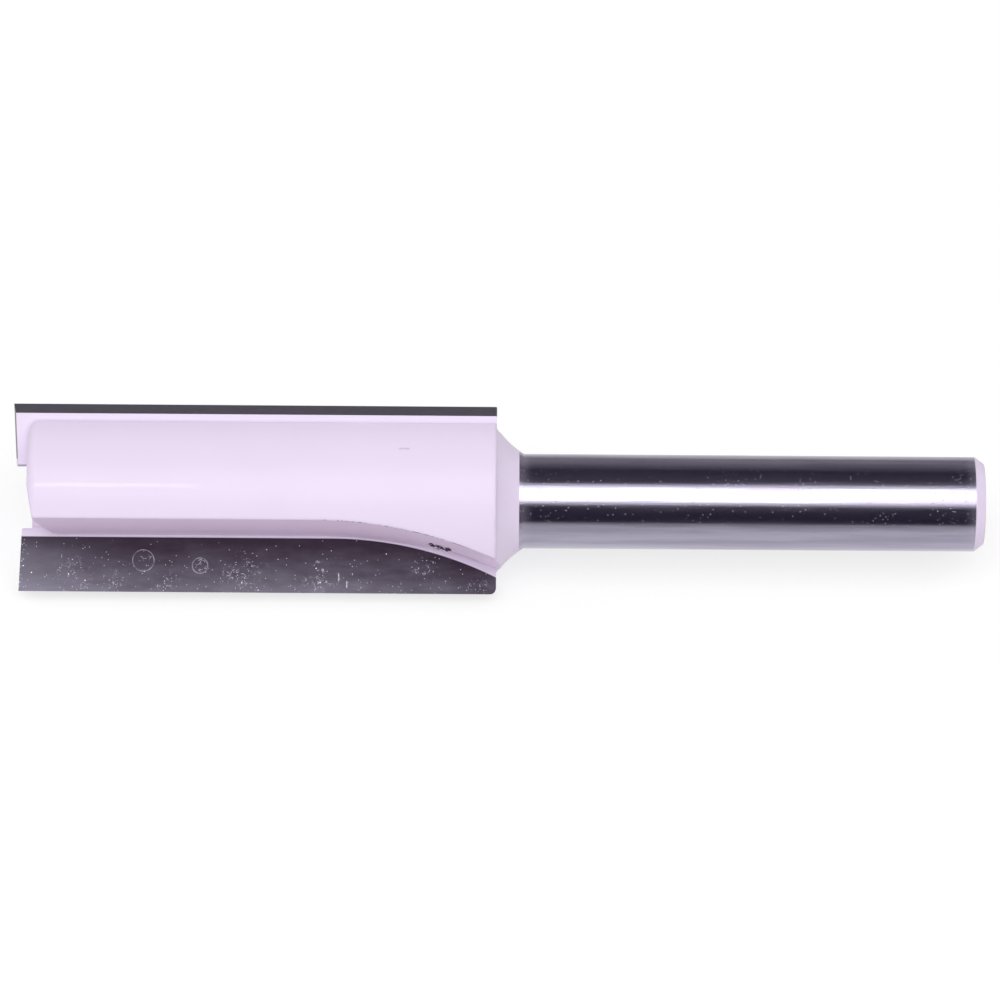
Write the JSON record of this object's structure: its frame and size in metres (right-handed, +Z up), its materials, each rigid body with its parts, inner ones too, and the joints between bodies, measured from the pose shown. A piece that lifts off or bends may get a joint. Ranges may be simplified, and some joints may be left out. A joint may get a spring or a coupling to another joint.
{
  "type": "router bit",
  "caption": "Straight router bit: ground steel shank, concave collar and painted body with straight flutes and rounded run-outs, and brazed carbide tips that reach past its nose.",
  "frame": {"origin": "on the bit's axis, at the middle of the ground shank", "axes": "+X along the axis to the shank's free end, the cutting end at -X; +Z up as the bit lies on a bench"},
  "size_m": [0.0652, 0.0112, 0.0114],
  "materials": {
    "painted_steel": "smooth semi-gloss pale lilac paint on the body, collar and shank end; the shank is bare, ground bright",
    "carbide": "ground dark grey carbide on the rake face, flank and end; paint on the back and on a strip along the inner edge",
    "painted_solder": "solder under the same pale lilac paint"
  },
  "bodies": {
    "root": {"cutter_body": "painted_steel", "carbide_tip_a": "carbide", "braze_a": "painted_solder", "carbide_tip_b": "carbide", "braze_b": "painted_solder"}
  },
  "joints": []
}
